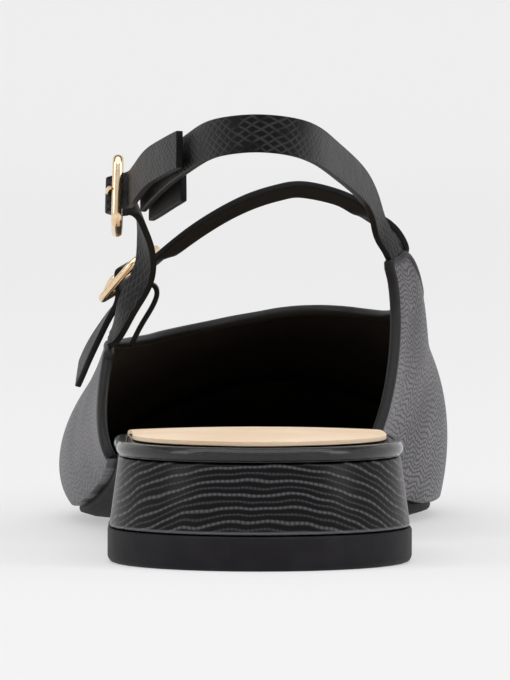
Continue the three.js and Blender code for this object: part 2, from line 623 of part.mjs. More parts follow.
// The heel pad under the sock swells the middle of the seat, from 0 at its edges to 1.
function heelPad(y, share) {
  const along = THREE.MathUtils.smoothstep(y, 0, heelDepth / 2) * (1 - THREE.MathUtils.smoothstep(y, heelDepth, heelDepth * 2));
  return along * (1 - share * share);
}

add('top_lift', stack([
  heelRing(heelFlare - liftBevel, 0),
  heelRing(heelFlare, liftBevel),
  heelRing(heelFlare, topLiftHeight - gap / 2),
]), finish.lift);

add('heel_block', stack([
  heelRing(heelFlare * 0.85, topLiftHeight + gap / 2),
  heelRing(0, seatTop),
]), finish.cover);

add('outsole', plate({
  from: breast + gap,
  to: shoeLength - outsoleInset,
  count: 36,
  lanes: 8,
  roundBack: false,
  roundFront: true,
  inset: () => outsoleInset,
  bottom: (y, share) => bottomHeight(y, share) - outsoleThickness + (share === 1 ? edgeBevel : 0),
  top: (y, share) => bottomHeight(y, share) - gap,
}), finish.sole);

add('insole', plate({
  from: heelFlare,
  to: shoeLength - upperWall - 2 * gap,
  count: 36,
  lanes: 6,
  roundBack: true,
  roundFront: true,
  inset: insoleInset,
  bottom: bottomHeight,
  top: insoleTop,
}), finish.smooth);

add('upper', upperLayer({
  from: -1,
  to: 1,
  columns: 66,
  rows: 12,
  reach: () => 1,
  inner: -upperWall,
  outer: 0,
}), finish.embossed);

add('toe_cap', upperLayer({
  from: capEdge[0].around,
  to: capEdge.at(-1).around,
  columns: 44,
  rows: 4,
  reach: (around) => read(capEdge, 'around', around, 'reach'),
  inner: gap,
  outer: gap + capThickness,
}), finish.smooth);

add('sock', plate({
  from: heelFlare + sockMargin,
  to: shoeLength - upperWall - sockMargin,
  count: 32,
  lanes: 6,
  roundBack: true,
  roundFront: true,
  inset: (y) => insoleInset(y) + sockMargin * (1 - 0.6 * THREE.MathUtils.smoothstep(y, breast, upperStart)),
  bottom: (y, share) => insoleTop(y, share) + gap,
  top: (y, share) => insoleTop(y, share) + gap + sockThickness + padRise * heelPad(y, share),
}), finish.sock);

const slingRoot = { from: 0.945, to: 1 };
const riserRoot = { from: -0.995, to: -0.9 };
const tabRoot = { from: -0.865, to: -0.77 };
const slingRows = [outOfTopEdge(slingRoot, gap), ...placed(slingPath, slingHeight)];
const foldRows = placed(foldPath, slingHeight);
const riserRows = [outOfTopEdge(riserRoot, 2 * gap), ...placed(riserPath, slingHeight)];
const rootLift = 1.5 * gap + strapThickness;
const instepRows = [
  onUpper(0.845, 0.84, rootLift),
  onUpper(0.857, 0.92, rootLift),
  onUpper(0.868, 1, rootLift),
  ...placed(instepPath, instepHeight),
];
const tabRows = [outOfTopEdge(tabRoot, gap), ...placed(tabPath, instepHeight)];

add('sling_strap', strap(slingRows, 44, strapWidth, strapThickness, topEdgeRun(slingRoot)), finish.embossed);
add('sling_fold', strap(foldRows, 8, strapWidth, strapThickness), finish.lining);
add('riser_strap', strap(riserRows, 48, strapWidth, strapThickness, topEdgeRun(riserRoot)), finish.embossed);
add('instep_strap', strap(instepRows, 60, instepStrapWidth, strapThickness), finish.lining);
add('buckle_tab', strap(tabRows, 24, instepStrapWidth, tabThickness, topEdgeRun(tabRoot)), finish.lining);
add('upper_buckle', seat(buckle(), buckleFrame(riserRows)), finish.gold);
add('upper_buckle_pin', seat(pin(), buckleFrame(riserRows)), finish.gold);
add('lower_buckle', seat(buckle(), buckleFrame(instepRows)), finish.gold);
add('lower_buckle_pin', seat(pin(), buckleFrame(instepRows)), finish.gold);

// The origin stands on the floor under the middle of the shoe.
const box = new THREE.Box3().setFromObject(shoe);
shoe.position.set(-(box.min.x + box.max.x) / 2, -(box.min.y + box.max.y) / 2, -box.min.z);

export default shoe;
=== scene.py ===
import json
import math

import bmesh
import bpy
from mathutils import Matrix, Vector

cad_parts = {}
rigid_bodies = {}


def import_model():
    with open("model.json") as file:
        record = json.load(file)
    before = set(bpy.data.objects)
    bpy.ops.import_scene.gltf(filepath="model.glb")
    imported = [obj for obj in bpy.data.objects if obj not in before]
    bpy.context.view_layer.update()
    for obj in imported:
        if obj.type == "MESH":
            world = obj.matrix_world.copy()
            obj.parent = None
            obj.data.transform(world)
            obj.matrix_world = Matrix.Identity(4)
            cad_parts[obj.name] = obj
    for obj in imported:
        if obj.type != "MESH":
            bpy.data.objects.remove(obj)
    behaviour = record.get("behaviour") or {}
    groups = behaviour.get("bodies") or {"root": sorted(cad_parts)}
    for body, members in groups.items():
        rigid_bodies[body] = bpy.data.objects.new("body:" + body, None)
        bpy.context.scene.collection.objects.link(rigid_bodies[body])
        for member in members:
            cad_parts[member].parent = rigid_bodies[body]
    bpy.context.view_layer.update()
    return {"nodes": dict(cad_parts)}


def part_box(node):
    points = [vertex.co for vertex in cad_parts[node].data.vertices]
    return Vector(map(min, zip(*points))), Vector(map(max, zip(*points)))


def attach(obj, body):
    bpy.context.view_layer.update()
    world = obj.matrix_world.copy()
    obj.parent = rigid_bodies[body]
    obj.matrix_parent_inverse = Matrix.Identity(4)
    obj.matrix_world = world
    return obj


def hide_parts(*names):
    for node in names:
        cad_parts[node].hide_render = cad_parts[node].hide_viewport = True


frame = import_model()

MM = 0.001
TO_MM = 1000.0
WELD = 2e-6  # Points of a solid that lie closer than this are one point.
SHARP = 50  # An edge that turns by more degrees than this ends a sheet.
RING = 6  # Points round a strap: three across its outer side, then three across its inner side.
CUT_EDGE = 0.3  # Rounding of a cut edge of leather, in millimetres.
UPPER_ROWS = 12  # Rows of faces up each skin of the upper.


# Selecting and finishing.

def alone(piece):
    """Only this piece is selected and active."""
    bpy.ops.object.select_all(action="DESELECT")
    piece.select_set(True)
    bpy.context.view_layer.objects.active = piece


def apply_all(piece):
    alone(piece)
    for modifier in list(piece.modifiers):
        bpy.ops.object.modifier_apply(modifier=modifier.name)


def rounded(piece, width, segments=2, angle=SHARP, limit="ANGLE"):
    bevel = piece.modifiers.new("edges", "BEVEL")
    bevel.width = width
    bevel.segments = segments
    bevel.limit_method = limit
    bevel.angle_limit = math.radians(angle)
    bevel.miter_outer = "MITER_ARC"


def smoothed(piece, levels):
    surface = piece.modifiers.new("surface", "SUBSURF")
    surface.levels = levels
    surface.render_levels = levels


def settle(piece, angle=40):
    """Applies the modifiers and smooths the shading."""
    apply_all(piece)
    bpy.ops.object.shade_smooth_by_angle(angle=math.radians(angle))


def finished(piece, slot, *nodes):
    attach(piece, "root")
    if nodes:
        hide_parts(*nodes)
    return piece


# Copies of the solids, as grids of quads.

def merged_copy(node, name):
    piece = bpy.data.objects.new(name, frame["nodes"][node].data.copy())
    bpy.context.scene.collection.objects.link(piece)
    piece.data.materials.clear()
    alone(piece)
    bpy.ops.object.mode_set(mode="EDIT")
    bpy.ops.mesh.select_all(action="SELECT")
    bpy.ops.mesh.remove_doubles(threshold=WELD)
    bpy.ops.object.mode_set(mode="OBJECT")
    for face in piece.data.polygons:
        face.material_index = 0
    return piece


def diagonals_of(mesh, sharp):
    """The diagonals of each sheet's triangulated grid. Opposite sides of a parallelogram are of one kind."""
    found, done = set(), set()
    for start in list(mesh.faces):
        if start in done:
            continue
        kind = {e: k for k, e in enumerate(start.edges)}
        sheet, waiting = [start], [start]
        done.add(start)
        while waiting:
            face = waiting.pop()
            for e in face.edges:
                if sharp(e):
                    continue
                for other in e.link_faces:
                    if other in done:
                        continue
                    for side in face.edges:
                        if side is not e:
                            shared = next(v for v in side.verts if v in e.verts)
                            across = next(s for s in other.edges if s is not e and shared not in s.verts)
                            kind.setdefault(across, kind[side])
                    done.add(other)
                    sheet.append(other)
                    waiting.append(other)
        inner = {e for f in sheet for e in f.edges if not sharp(e)}
        lengths = [[e.calc_length() for e in inner if kind[e] == k] for k in range(3)]
        means = [sum(ls) / len(ls) if ls else 0 for ls in lengths]
        longest = means.index(max(means))
        found |= {e for e in inner if kind[e] == longest}
    return found


def dissolve(piece, edges_of):
    bpy.ops.object.mode_set(mode="EDIT")
    bpy.ops.mesh.select_mode(type="EDGE")
    bpy.ops.mesh.select_all(action="DESELECT")
    mesh = bmesh.from_edit_mesh(piece.data)
    for e in edges_of(mesh):
        e.select_set(True)
    bmesh.update_edit_mesh(piece.data)
    bpy.ops.mesh.dissolve_edges(use_verts=False, use_face_split=False)
    bpy.ops.object.mode_set(mode="OBJECT")


def grid_copy(node, name):
    """A merged copy whose triangles are joined to the quads of its grid."""
    piece = merged_copy(node, name)
    limit = math.radians(SHARP)
    dissolve(piece, lambda mesh: diagonals_of(mesh, lambda e: e.calc_face_angle(0) > limit))
    return piece


def sheets_of(piece):
    """The faces of each sheet between sharp edges, largest first."""
    mesh = bmesh.new()
    mesh.from_mesh(piece.data)
    limit = math.radians(SHARP)
    seen, sheets = set(), []
    for start in mesh.faces:
        if start in seen:
            continue
        seen.add(start)
        sheet, waiting = [start], [start]
        while waiting:
            for e in waiting.pop().edges:
                if e.calc_face_angle(0) > limit:
                    continue
                for f in e.link_faces:
                    if f not in seen:
                        seen.add(f)
                        sheet.append(f)
                        waiting.append(f)
        sheets.append(sheet)
    found = [([f.index for f in s], sum((f.calc_center_median() for f in s), Vector()) / len(s),
              sum(f.calc_area() for f in s)) for s in sheets]
    mesh.free()
    return sorted(found, key=lambda s: -s[2])


def lay_pattern(piece, rows, near):
    """UV in millimetres on a shell: u runs round it from its end near a point, v up each skin from its foot."""
    mesh = bmesh.new()
    mesh.from_mesh(piece.data)
    mesh.faces.ensure_lookup_table()
    ends = [faces for faces, _, _ in sheets_of(piece)[2:] if len(faces) == rows]

    def away(faces):
        middle = sum((mesh.faces[i].calc_center_median() for i in faces), Vector()) / len(faces)
        return (middle - Vector(near)).length

    ring = {v for i in min(ends, key=away) for v in mesh.faces[i].verts}
    u, v_of, along, middle = {}, {}, 0.0, None
    while ring:
        centre = sum((v.co for v in ring), Vector()) / len(ring)
        along += (centre - middle).length if middle else 0.0
        middle = centre
        low = min(ring, key=lambda v: v.co.z)
        chain = [low]
        while True:
            steps = [e.other_vert(chain[-1]) for e in chain[-1].link_edges]
            steps = [v for v in steps if v in ring and v not in chain]
            if not steps:
                break
            chain.append(max(steps, key=lambda v: (v.co - chain[-1].co).length))
        runs = [0.0]
        for a, b in zip(chain, chain[1:]):
            runs.append(runs[-1] + (b.co - a.co).length)
        for v, run in zip(chain, runs):
            v_of[v] = min(run, runs[-1] - run)
        for v in ring:
            u[v] = along
        ring = {e.other_vert(v) for v in ring for e in v.link_edges} - set(u)
    uv = mesh.loops.layers.uv.new("pattern")
    for f in mesh.faces:
        for loop in f.loops:
            loop[uv].uv = (u.get(loop.vert, 0.0) / MM, v_of.get(loop.vert, 0.0) / MM)
    mesh.to_mesh(piece.data)
    mesh.free()


def next_ring(ring, layer):
    """The points that follow those of a ring, each joined to its own by an edge.

    The sides between them are about as long as the ring's own, which counts more than how near they lie.
    """
    found = []
    likeness = 10

    def sides(points):
        return [(points[i].co - points[i - 1].co).length for i in range(RING)]

    def extend(chosen):
        if len(chosen) == RING:
            apart = sum((a.co - b.co).length for a, b in zip(ring, chosen))
            unlike = sum(abs(a - b) for a, b in zip(sides(ring), sides(chosen)))
            found.append((apart + likeness * unlike, chosen))
            return
        here = ring[len(chosen)]
        for e in here.link_edges:
            v = e.other_vert(here)
            if v in layer and v not in chosen:
                extend(chosen + [v])

    extend([])
    return min(found, key=lambda f: f[0])[1]


def band_rings(mesh, near):
    """The rings of six points along a strap, each in order round it, from its end near a point."""
    widest = 12 * MM
    mesh.verts.ensure_lookup_table()
    corner = min(mesh.verts, key=lambda v: (v.co - Vector(near)).length)
    for cap in corner.link_faces:
        flat = {v for v in mesh.verts
                if abs(cap.normal.dot(v.co - corner.co)) < WELD and (v.co - corner.co).length < widest}
        if len(flat) != RING:
            continue
        layers, seen = [flat], set(flat)
        while True:
            layer = {e.other_vert(v) for v in layers[-1] for e in v.link_edges} - seen
            if not layer:
                break
            seen |= layer
            layers.append(layer)
        if all(len(layer) == RING for layer in layers):
            break
    else:
        raise ValueError(f"no end of a strap lies near {near}")

    chain = [min(layers[1], key=lambda v: v.index)]
    while len(chain) < RING:
        steps = [e.other_vert(chain[-1]) for e in chain[-1].link_edges]
        steps = [v for v in steps if v in layers[1] and v not in chain]
        chain.append(min(steps, key=lambda v: (v.co - chain[-1].co).length))
    rings = [next_ring(chain, layers[0]), chain]
    for layer in layers[2:]:
        rings.append(next_ring(rings[-1], layer))
    # The first point is one where a short side, the strap's thickness, is followed by two halves of its width.
    sides = [(chain[i].co - chain[(i + 1) % RING].co).length for i in range(RING)]
    shift = next(i for i in range(RING)
                 if sides[i - 1] < sides[i] and sides[(i + 2) % RING] < sides[(i + 1) % RING])
    return [[ring[(i + shift) % RING] for i in range(RING)] for ring in rings]


def band_piece(node, name, slot, near, axis, outer, inner, crown=0.0):
    """A strap: a copy of its solid with a finished outer side, an inner side and painted edges.

    The points of its rings are labelled 0 to 2 across the outer side and 3 to 5 back across the inner side.
    """
    piece = merged_copy(node, name)
    mesh = bmesh.new()
    mesh.from_mesh(piece.data)
    rings = band_rings(mesh, near)
    faces_out = rings[2][1].co - Vector(axis(rings[2][1].co))
    if faces_out.dot(rings[2][1].co - rings[2][4].co) < 0:
        rings = [[ring[(i + RING // 2) % RING] for i in range(RING)] for ring in rings]
    label = {v.index: i for ring in rings for i, v in enumerate(ring)}
    order = {v.index: k for k, ring in enumerate(rings) for v in ring}
    along, runs = 0.0, []
    for k, ring in enumerate(rings):
        here = sum((v.co for v in ring), Vector()) / RING
        along += (here - middle).length if k else 0.0
        middle = here
        runs.append(along)
    half = (rings[2][0].co - rings[2][2].co).length / 2
    mesh.free()

    def diagonals(edit):
        for e in edit.edges:
            a, b = [v.index for v in e.verts]
            if order[a] != order[b] and label[a] != label[b]:
                yield e
            elif order[a] == order[b] and (label[a] - label[b]) % RING not in (1, RING - 1):
                yield e

    dissolve(piece, diagonals)
    for finish in (outer, inner, "edge"):
        piece.data.materials.append(FINISH[finish])
    uv = piece.data.uv_layers.new(name="pattern")
    across = {0: -half, 1: 0.0, 2: half, 3: half, 4: 0.0, 5: -half}
    for face in piece.data.polygons:
        labels = {label[i] for i in face.vertices}
        face.material_index = 0 if labels <= {0, 1, 2} else 1 if labels <= {3, 4, 5} else 2
        for k, i in zip(face.loop_indices, face.vertices):
            uv.data[k].uv = (runs[order[i]] / MM, across[label[i]] / MM)
    if crown:
        for i, side in label.items():
            if side == 1:
                v = piece.data.vertices[i]
                v.co += v.normal * crown * MM
    sharp = piece.data.attributes.new("bevel_weight_edge", "FLOAT", "EDGE")
    last = len(rings) - 1
    for e in piece.data.edges:
        a, b = e.vertices
        along_corner = label[a] == label[b] and label[a] not in (1, 4)
        round_end = order[a] == order[b] and order[a] in (0, last)
        sharp.data[e.index].value = float(along_corner or round_end)
    rounded(piece, CUT_EDGE * MM, limit="WEIGHT")
    smoothed(piece, 2)
    settle(piece)
    return finished(piece, slot, node)


# Shader maths.

class Value:
    """A socket that adds, subtracts and multiplies as a number does."""

    def __init__(self, shader, socket):
        self.shader, self.socket = shader, socket

    def _math(self, kind, *values):
        return self.shader.node("ShaderNodeMath", {"operation": kind}, *values)

    def __add__(self, other): return self._math("ADD", self, other)
    def __radd__(self, other): return self._math("ADD", other, self)
    def __sub__(self, other): return self._math("SUBTRACT", self, other)
    def __rsub__(self, other): return self._math("SUBTRACT", other, self)
    def __mul__(self, other): return self._math("MULTIPLY", self, other)
    def __rmul__(self, other): return self._math("MULTIPLY", other, self)
    def __truediv__(self, other): return self._math("DIVIDE", self, other)
    def __pow__(self, other): return self._math("POWER", self, other)
    def sin(self): return self._math("SINE", self)
    def floor(self): return self._math("FLOOR", self)
    def fract(self): return self._math("FRACT", self)
    def abs(self): return self._math("ABSOLUTE", self)
    def atleast(self, other): return self._math("MAXIMUM", self, other)

    def step(self, low, high):
        """0 below low and 1 above high, smooth between them."""
        return self.shader.node("ShaderNodeMapRange", {"interpolation_type": "SMOOTHSTEP"}, self, low, high)


class Shader:
    """A material under construction."""

    def __init__(self, name):
        self.material = bpy.data.materials.new("finish_" + name)
        self.material.use_nodes = True
        self.tree = self.material.node_tree
        self.surface = self.tree.nodes["Principled BSDF"]

    def node(self, kind, settings=None, *inputs, output=0, **named):
        """Adds a node: its settings are set first, then its inputs by order and by name."""
        made = self.tree.nodes.new(kind)
        for key, value in (settings or {}).items():
            setattr(made, key, value)
        wanted = list(zip(range(len(inputs)), inputs)) + [(k.replace("_", " "), v) for k, v in named.items()]
        for key, value in wanted:
            self.put(made.inputs[key], value)
        return Value(self, made.outputs[output])

    def put(self, socket, value):
        if isinstance(value, Value):
            self.tree.links.new(value.socket, socket)
        else:
            socket.default_value = value

    def spot(self):
        """Where on the piece, in metres."""
        return self.node("ShaderNodeTexCoord", output="Object")

    def split(self, coords):
        parts = self.tree.nodes.new("ShaderNodeSeparateXYZ")
        self.put(parts.inputs[0], coords)
        return [Value(self, part) for part in parts.outputs]

    def place(self):
        """X, Y and Z of the piece in millimetres."""
        return [part * TO_MM for part in self.split(self.spot())]

    def pattern(self):
        """U and V of the piece's pattern in millimetres."""
        return self.split(self.node("ShaderNodeUVMap", {"uv_map": "pattern"}))[:2]

    def noise(self, scale, detail=2.0, roughness=0.5, at=None):
        """Noise whose grains are about 1/scale millimetres, from about 0 to 1."""
        where = at or self.spot()
        factor = 1.0 if at else TO_MM
        return self.node("ShaderNodeTexNoise", {}, Vector=where, Scale=scale * factor, Detail=detail,
                         Roughness=roughness)

    def point(self, x, y, z=0.0):
        return self.node("ShaderNodeCombineXYZ", {}, x, y, z)

    def blend(self, factor, a, b):
        made = self.tree.nodes.new("ShaderNodeMix")
        made.data_type = "RGBA"
        self.put(made.inputs[0], factor)
        self.put(made.inputs[6], a)
        self.put(made.inputs[7], b)
        return Value(self, made.outputs[2])

    def set(self, **sockets):
        for key, value in sockets.items():
            self.put(self.surface.inputs[key.replace("_", " ")], value)

    def relief(self, height, depth):
        """Bump of a height from 0 to 1 that stands depth millimetres proud."""
        bump = self.node("ShaderNodeBump", {}, Strength=1.0, Distance=depth * MM, Height=height)
        self.put(self.surface.inputs["Normal"], bump)
        return self


def colour(r, g, b):
    return (r, g, b, 1.0)


def pebble(shader, scale):
    """Small irregular grains of leather."""
    grains = shader.node("ShaderNodeTexVoronoi", {"feature": "DISTANCE_TO_EDGE"}, Vector=shader.spot(),
                         Scale=scale * TO_MM)
    return grains.step(0.0, 0.25)


# Finishes.

def embossed_leather():
    """Near-black satin leather, faintly purple, with small scales in wavy rows that show less on the outer side. The
    scale crowns are painted lighter than the grooves, lighter still in random patches: a painted highlight in place
    of the satin sheen.
    """
    shader = Shader("embossed_leather")
    row_width, scale_length, wave_length, full_turn = 1.15, 1.3, 7.0, 6.283
    outer_x, inner_x = -14.0, 4.0
    u, v = shader.pattern()
    broad = (shader.noise(1.0 / 16.0, 1.0, at=shader.point(u, v)) - 0.5) * 14.0
    small = (shader.noise(1.0 / 3.2, 1.0, at=shader.point(u, v, 9.0)) - 0.5) * 2.2
    swing = ((u + broad) * (full_turn / wave_length)).sin() * 0.55
    row = (v + broad * 0.3 + small + swing) / row_width
    groove = (row.fract() - 0.5).abs() * 2.0
    cell = ((u + small + (row.floor() * 0.5).fract() * scale_length) / scale_length).fract() - 0.5
    scales = (1.0 - groove.step(0.3, 1.0)) * (1.0 - (cell.abs() * 2.0).step(0.5, 1.0) * 0.55)
    patches = shader.noise(0.06, 2.0).step(0.38, 0.66)
    outer_side = 1.0 - shader.place()[0].step(outer_x, inner_x)
    scales = scales * (1.0 - outer_side * 0.55) + outer_side * 0.24
    # Painted highlight: the crowns are coloured lighter than the grooves, and lighter still in patches, in place of
    # the sheen they would catch.
    base = shader.blend(scales, colour(0.026, 0.0236, 0.0275), colour(0.085, 0.078, 0.089))
    base = shader.blend(scales * patches * 0.6, base, colour(0.17, 0.158, 0.176))
    shader.set(Base_Color=base, Roughness=0.48 - scales * 0.12, Specular_IOR_Level=0.42)
    return shader.relief(scales * 0.9 + pebble(shader, 3.4) * 0.1, 0.22).material


def strap_leather():
    """Glossy black with flat scales in a net whose lines are painted lighter, a painted highlight where they would
    catch the light, as on the strap round the heel.
    """
    shader = Shader("strap_leather")
    mesh_length, mesh_width = 2.9, 1.75
    u, v = shader.pattern()
    small = (shader.noise(1.0 / 4.0, 1.0, at=shader.point(u, v)) - 0.5) * 0.7
    p = (u + small) / mesh_length + (v + small * 0.6) / mesh_width
    q = (u + small) / mesh_length - (v - small * 0.6) / mesh_width
    net = ((p.fract() - 0.5).abs() * 2.0).atleast((q.fract() - 0.5).abs() * 2.0)
    lines = net.step(0.5, 1.0) * shader.noise(0.25, 2.0).step(0.3, 0.6)
    # Painted highlight: the net lines are coloured lighter than the scales, fading at random, in place of the light
    # they would catch.
    base = shader.blend(lines, colour(0.0022, 0.0021, 0.0023), colour(0.036, 0.0345, 0.037))
    shader.set(Base_Color=base, Roughness=0.42 + lines * 0.1, Specular_IOR_Level=0.12, Coat_Weight=0.01)
    return shader.relief((1.0 - lines) * 0.92 + pebble(shader, 4.0) * 0.08, 0.22).material


def smooth_leather(name, tone, roughness, coat=0.0, gloss=0.22):
    """Smooth leather with pores and faint creases."""
    shader = Shader(name)
    pores = pebble(shader, 2.6)
    cloud = shader.noise(0.12, 3.0)
    base = shader.blend(cloud.step(0.3, 0.75), colour(*tone), colour(*[c * 1.5 + 0.002 for c in tone]))
    shader.set(Base_Color=base, Roughness=roughness + (cloud - 0.5) * 0.12, Specular_IOR_Level=gloss,
               Coat_Weight=coat)
    return shader.relief(pores * 0.7 + cloud * 0.3, 0.05).material


def heel_leather():
    """Glossy black cover: concentric arches of small raised dots that run down to the lower corners. The dots are
    painted lighter than the ground and a band along the foot is painted pale: both are painted highlights.
    """
    shader = Shader("heel_leather")
    pitch, off_centre, fall, bend, dot_shift = 2.7, 0.8, 0.00155, 2.6, 0.37
    x, _, z = shader.place()
    lo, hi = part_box("heel_block")
    middle = (lo.x + hi.x) / 2 / MM - off_centre
    side = (x - middle).abs()
    wobble = (shader.noise(0.12, 1.0) - 0.5) * 2.2
    arch = z + side ** bend * fall + wobble

    def dotted(rows, size, offset, width):
        row = rows + offset
        line = ((row.fract() - 0.5) * (2.0 * pitch / width)).abs()
        dots = ((x + row.floor() * dot_shift) / size).fract() - 0.5
        return (1.0 - line.step(0.1, 1.0)) * (1.0 - (dots.abs() * 2.0).step(0.4, 1.0) * 0.6)

    strong = dotted(arch / pitch, 0.95, 0.0, 0.85)
    faint = dotted(arch / pitch, 0.8, 0.5, 0.7) * 0.42
    crest = strong.atleast(faint)
    # Painted highlight: a pale band along the cover's foot stands in for the light line that its lower edge catches.
    foot = 1.0 - (z - lo.z / MM).step(0.3, 0.8)
    # Painted highlight: the dots are coloured lighter than the ground in place of the light their crowns catch.
    base = shader.blend(crest, colour(0.0016, 0.0015, 0.0018), colour(0.075, 0.073, 0.08))
    base = shader.blend(foot * 0.8, base, colour(0.13, 0.13, 0.135))
    shader.set(Base_Color=base, Roughness=0.3 + crest * 0.08, Specular_IOR_Level=0.15,
               Coat_Weight=crest * 0.15)
    return shader.relief(crest, 0.1).material


def sock_leather():
    """Cream sock leather with soft grain and a faint warm tone that varies in soft clouds."""
    shader = Shader("sock_leather")
    grain = pebble(shader, 1.6)
    cloud = shader.noise(0.05, 3.0)
    base = shader.blend(cloud.step(0.3, 0.75), colour(0.80, 0.60, 0.41), colour(0.88, 0.70, 0.52))
    shader.set(Base_Color=base, Roughness=0.62 - grain * 0.08)
    return shader.relief(grain * 0.5 + cloud * 0.5, 0.08).material


def lift_rubber():
    """Matt near-black walking piece with a fine sanded side."""
    shader = Shader("lift_rubber")
    grit = shader.noise(3.0, 3.0, 0.6)
    wear = shader.noise(0.2, 3.0)
    base = shader.blend(wear.step(0.35, 0.7), colour(0.005, 0.0038, 0.0056), colour(0.0085, 0.007, 0.0095))
    shader.set(Base_Color=base, Roughness=0.5 + grit * 0.12, Specular_IOR_Level=0.2)
    return shader.relief(grit, 0.04).material


def gold():
    """Polished pale gold with faint polishing marks."""
    shader = Shader("gold")
    marks = shader.noise(1.2, 3.0)
    base = shader.blend(marks.step(0.3, 0.7), colour(0.86, 0.64, 0.40), colour(0.93, 0.73, 0.50))
    shader.set(Base_Color=base, Metallic=1.0, Roughness=0.14 + marks * 0.1)
    return shader.relief(marks, 0.01).material


FINISH = {
    "embossed": embossed_leather(),
    "strap": strap_leather(),
    "heel": heel_leather(),
    "smooth": smooth_leather("seat_leather", (0.003, 0.0028, 0.003), 0.14, 0.45, 0.3),
    "cap": smooth_leather("cap_leather", (0.022, 0.0205, 0.022), 0.26, 0.35, 0.4),
    "binding": smooth_leather("binding_leather", (0.005, 0.0045, 0.0045), 0.4, 0.05),
    "lining": smooth_leather("lining_leather", (0.0025, 0.002, 0.0017), 0.6),
    "strap_inside": smooth_leather("strap_lining", (0.008, 0.007, 0.007), 0.55, 0.0, 0.14),
    "instep": smooth_leather("instep_leather", (0.0045, 0.0034, 0.003), 0.42, 0.03, 0.15),
    "edge": smooth_leather("edge_paint", (0.003, 0.0028, 0.003), 0.4, 0.03, 0.14),
    "sole": smooth_leather("sole_leather", (0.002, 0.0018, 0.002), 0.55, 0.0, 0.08),
    "sock": sock_leather(),
    "lift": lift_rubber(),
    "gold": gold(),
}


# Pieces on the solids.

def outward(piece, faces, axis):
    """True if a sheet faces away from an axis along the shoe."""
    shapes = [piece.data.polygons[i] for i in faces]
    return sum(f.normal.dot(f.center - Vector(axis(f.center))) * f.area for f in shapes) > 0


def foot_axis(p):
    """A line along the inside of the shoe, which ends short of the toe."""
    middle_x, toe_y, height = 0.002, 0.075, 0.018
    return (middle_x, min(p.y, toe_y), height)


def turn_in(piece, faces, reach):
    """The foot of the upper is turned in under the foot, as it is lasted."""
    def key(v):
        return tuple(round(c, 7) for c in v.co)

    mesh = bmesh.new()
    mesh.from_mesh(piece.data)
    mesh.faces.ensure_lookup_table()
    strip = {mesh.faces[i] for i in faces}
    inner = {v for f in mesh.faces if f.material_index == 1 for v in f.verts}
    inward = {}
    for f in strip:
        for e in f.edges:
            a, b = e.verts
            if (a in inner) != (b in inner):
                way = (a.co - b.co) if a in inner else (b.co - a.co)
                way.z = 0.0
                for v in (a, b):
                    inward[key(v)] = way.normalized()
    mesh.free()
    for f in piece.data.polygons:
        f.select = f.index in faces
    for e in piece.data.edges:
        e.select = False
    for v in piece.data.vertices:
        v.select = False
    before = len(piece.data.polygons)
    alone(piece)
    bpy.ops.object.mode_set(mode="EDIT")
    bpy.ops.mesh.select_mode(type="FACE")
    bpy.ops.mesh.extrude_region_move(TRANSFORM_OT_translate={"value": (0, 0, 0)})
    mesh = bmesh.from_edit_mesh(piece.data)
    for v in mesh.verts:
        if v.select:
            way = inward.get(key(v))
            if way is not None:
                v.co += way * reach * MM
    bmesh.update_edit_mesh(piece.data)
    bpy.ops.object.mode_set(mode="OBJECT")
    for f in piece.data.polygons:
        if f.index >= before:
            f.material_index = 2


def skin_piece(node, name, slot, rows, near, outer, margin=0.0):
    """A curved panel of leather, with its outer skin, inner skin and edges told apart."""
    piece = grid_copy(node, name)
    sheets = sheets_of(piece)
    skins = [faces for faces, _, _ in sheets[:2]]
    if not outward(piece, skins[0], foot_axis):
        skins.reverse()
    for finish in (outer, "lining", "edge"):
        piece.data.materials.append(FINISH[finish])
    for face in piece.data.polygons:
        face.material_index = 2
    for index, faces in enumerate(skins):
        for i in faces:
            piece.data.polygons[i].material_index = index
    if near:
        lay_pattern(piece, rows, near)
    if margin:
        foot = min((s for s in sheets[2:] if len(s[0]) > rows), key=lambda s: s[1].z)
        turn_in(piece, foot[0], margin)
    rounded(piece, CUT_EDGE * MM)
    smoothed(piece, 2)
    settle(piece)
    return finished(piece, slot, node)


def make_upper():
    low, pattern_height, turned_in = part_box("upper")[0], 0.03, 3.4
    skin_piece("upper", "upper_shell", "embossed_leather", UPPER_ROWS, (low.x, low.y, pattern_height), "embossed",
               margin=turned_in)


def make_toe_cap():
    skin_piece("toe_cap", "toe_cap_skin", "cap_leather", 4, None, "cap")


def make_bands():
    """The straps. The corner of its box that each one's root or end lies near is given as low or high in x, y, z."""
    heel_y, under_z = -0.09, 0.035

    def leg_axis(p):
        return (0.0, max(min(p.y, 0.0), heel_y), p.z)

    def under(p):
        return (0.0, p.y, under_z)

    low, high, inside = 0, 1, "strap_inside"
    bands = (
        ("sling_strap", "sling_band", "strap_leather", (high, high, low), leg_axis, "strap", inside, 0.15),
        ("sling_fold", "sling_chape", "strap_lining", (high, low, high), leg_axis, inside, inside, 0.0),
        ("riser_strap", "riser_band", "strap_leather", (low, high, low), leg_axis, "strap", inside, 0.0),
        ("instep_strap", "instep_band", "strap_leather", (low, high, low), under, "instep", "instep", 0.0),
        ("buckle_tab", "tab_loop", "strap_lining", (low, low, low), under, "instep", "instep", 0.0),
    )
    boxes = [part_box(band[0]) for band in bands]
    for box, (node, name, slot, corner, axis, outer, inner, crown) in zip(boxes, bands):
        near = tuple(box[side][i] for i, side in enumerate(corner))
        band_piece(node, name, slot, near, axis, outer, inner, crown)


